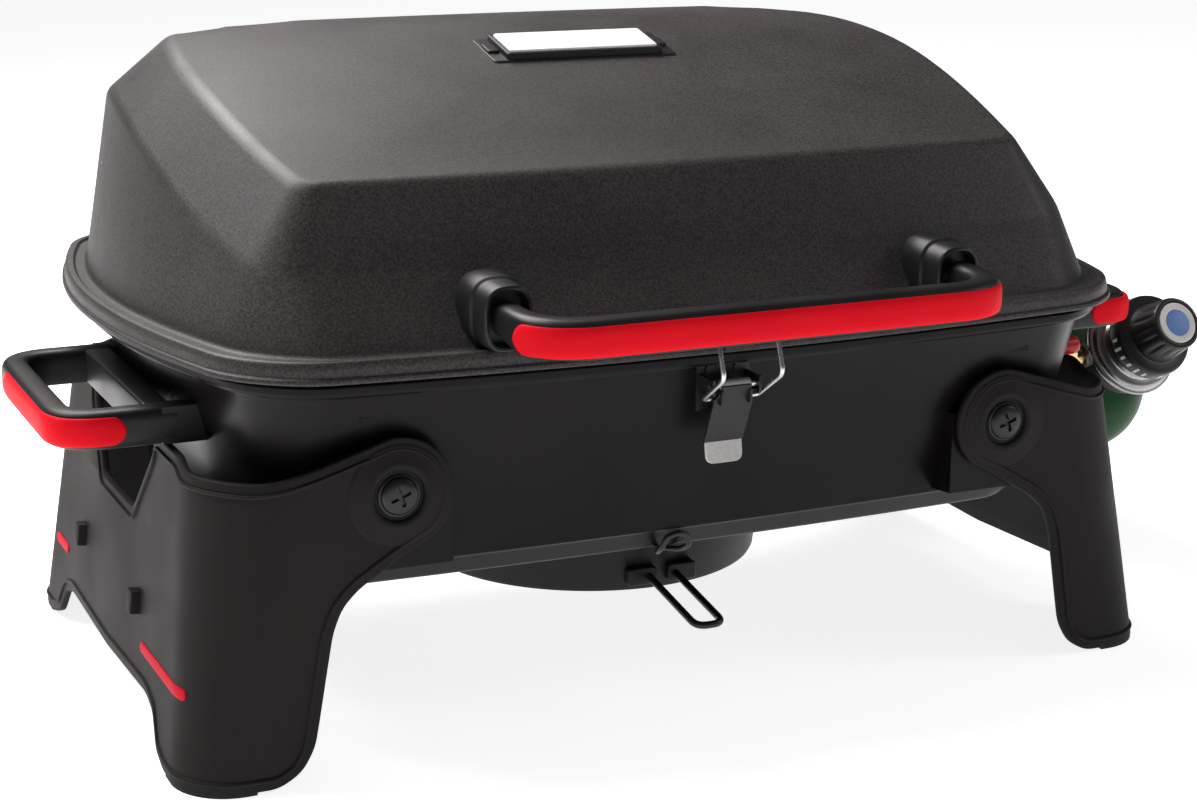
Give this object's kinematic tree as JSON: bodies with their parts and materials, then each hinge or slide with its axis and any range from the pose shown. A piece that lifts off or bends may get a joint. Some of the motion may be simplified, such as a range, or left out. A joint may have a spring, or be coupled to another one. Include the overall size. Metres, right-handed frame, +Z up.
{
  "type": "portable tabletop gas grill",
  "caption": "Portable tabletop gas grill: hinged hood over a tapered firebox, folding legs, side handles, hood latch, slide-out grease tray and screw-on gas cylinder.",
  "frame": {"origin": "below the middle of the bounding box, on the table", "axes": "+X to the right end with the gas cylinder, +Y to the back where the hood is hinged, +Z up"},
  "size_m": [0.737, 0.47, 0.3468],
  "materials": {
    "lid_powder_coat": "fine speckled heat-proof powder coat, satin",
    "body_enamel": "smooth satin black enamel",
    "leg_moulding": "moulded, matte dark grey, fine grain",
    "black_handle": "moulded nylon, satin, fine grain",
    "black_moulding": "moulded nylon, satin",
    "black_knob": "moulded, satin, with white dial marks",
    "red_inlay": "smooth satin red insert",
    "red_button": "glossy moulded button",
    "red_paint": "printed red stripe",
    "bright_plate": "brushed, blank",
    "polished_metal": "turned and polished",
    "brass_fitting": "machined",
    "green_cylinder": "glossy dark green enamel",
    "blank_label": "blank disc, pale grey rim, plain blue field",
    "dark_latch": "dark zinc plate with worn bright edges",
    "bright_wire": "bright plated wire",
    "dark_wire": "black coated wire",
    "hinge_steel": "zinc-plated steel",
    "dark_bolt": "blackened bolt",
    "grate_iron": "porcelain-coated bars",
    "burner_steel": "stainless tube",
    "electrode_ceramic": "glazed insulator on a wire",
    "tray_enamel": "black enamel",
    "foot_rubber": "moulded pads"
  },
  "bodies": {
    "firebox_body": {"firebox": "body_enamel", "leg_brackets": "body_enamel", "pivot_bolts": "dark_bolt", "grate_supports": "body_enamel", "cooking_grate_left": "grate_iron", "cooking_grate_right": "grate_iron", "burner_tube": "burner_steel", "burner_bracket": "burner_steel", "heat_tent": "burner_steel", "gas_orifice": "brass_fitting", "regulator_body": "black_moulding", "regulator_cap": "polished_metal", "regulator_outlet": "polished_metal", "igniter_housing": "black_moulding", "igniter_electrode": "electrode_ceramic", "side_handle_left": "black_handle", "side_handle_right": "black_handle", "side_inlay_left": "red_inlay", "side_inlay_right": "red_inlay", "handle_brackets": "black_handle", "latch_base": "dark_latch", "latch_pin": "bright_wire", "tray_rails": "body_enamel", "tray_clip": "dark_wire", "hinge_box_leaves": "hinge_steel", "hinge_pins": "hinge_steel"},
    "hood": {"lid": "lid_powder_coat", "lid_handle": "black_handle", "lid_handle_inlay": "red_inlay", "lid_handle_bosses": "black_moulding", "lid_handle_screws": "hinge_steel", "lid_bezel": "black_moulding", "lid_plate": "bright_plate", "lid_catch": "dark_latch", "hinge_lid_leaves": "hinge_steel", "rack_rod": "bright_wire"},
    "rack": {"warming_rack": "bright_wire"},
    "left_leg": {"leg_left": "leg_moulding", "pegs_left": "leg_moulding", "stripes_left": "red_paint", "foot_pads_left": "foot_rubber"},
    "right_leg": {"leg_right": "leg_moulding", "pegs_right": "leg_moulding", "stripes_right": "red_paint", "foot_pads_right": "foot_rubber"},
    "lever": {"latch_lever": "dark_latch"},
    "bail": {"latch_bail": "bright_wire"},
    "tray": {"grease_tray": "tray_enamel", "tray_handle": "dark_wire", "tray_lugs": "tray_enamel"},
    "knob": {"regulator_knob": "black_knob", "knob_label": "blank_label"},
    "cylinder": {"propane_cylinder": "green_cylinder", "cylinder_collar": "polished_metal"},
    "button": {"igniter_button": "red_button"}
  },
  "joints": [
    {"name": "hood_hinge", "type": "hinge", "parent": "firebox_body", "child": "hood", "pos_m": [-0.0425, 0.23, 0.207], "axis": [-1, 0, 0], "range_deg": [0, 95]},
    {"name": "rack_swing", "type": "hinge", "parent": "hood", "child": "rack", "pos_m": [-0.0425, 0.101, 0.272], "axis": [-1, 0, 0], "range_deg": [-95, 0]},
    {"name": "left_leg_fold", "type": "hinge", "parent": "firebox_body", "child": "left_leg", "pos_m": [-0.2175, 0.001, 0.144], "axis": [0, -1, 0], "range_deg": [0, 90]},
    {"name": "right_leg_fold", "type": "hinge", "parent": "firebox_body", "child": "right_leg", "pos_m": [0.1325, 0.001, 0.144], "axis": [0, 1, 0], "range_deg": [0, 90]},
    {"name": "latch_lever_swing", "type": "hinge", "parent": "firebox_body", "child": "lever", "pos_m": [-0.0425, -0.183, 0.187], "axis": [-1, 0, 0], "range_deg": [0, 100]},
    {"name": "latch_bail_swing", "type": "hinge", "parent": "lever", "child": "bail", "pos_m": [-0.0425, -0.1795, 0.18], "axis": [1, 0, 0], "range_deg": [0, 100]},
    {"name": "tray_slide", "type": "slide", "parent": "firebox_body", "child": "tray", "axis": [0, 1, 0], "range_m": [-0.15, 0]},
    {"name": "regulator_knob_turn", "type": "hinge", "parent": "firebox_body", "child": "knob", "pos_m": [0.3195, -0.03, 0.141], "axis": [0, -0.8746, 0.4848], "range_deg": [0, 270]},
    {"name": "cylinder_unscrew", "type": "hinge", "parent": "firebox_body", "child": "cylinder", "pos_m": [0.3195, -0.03, 0.141], "axis": [0, -0.8746, 0.4848], "range_deg": [0, 360]},
    {"name": "igniter_press", "type": "slide", "parent": "firebox_body", "child": "button", "axis": [-1, 0, 0], "range_m": [0, 0.004], "stiffness_N_per_m": 300}
  ],
  "couplings": [
    {"joint": "rack_swing", "follows": "hood_hinge", "ratio": -1},
    {"joint": "latch_bail_swing", "follows": "latch_lever_swing", "ratio": 1}
  ]
}
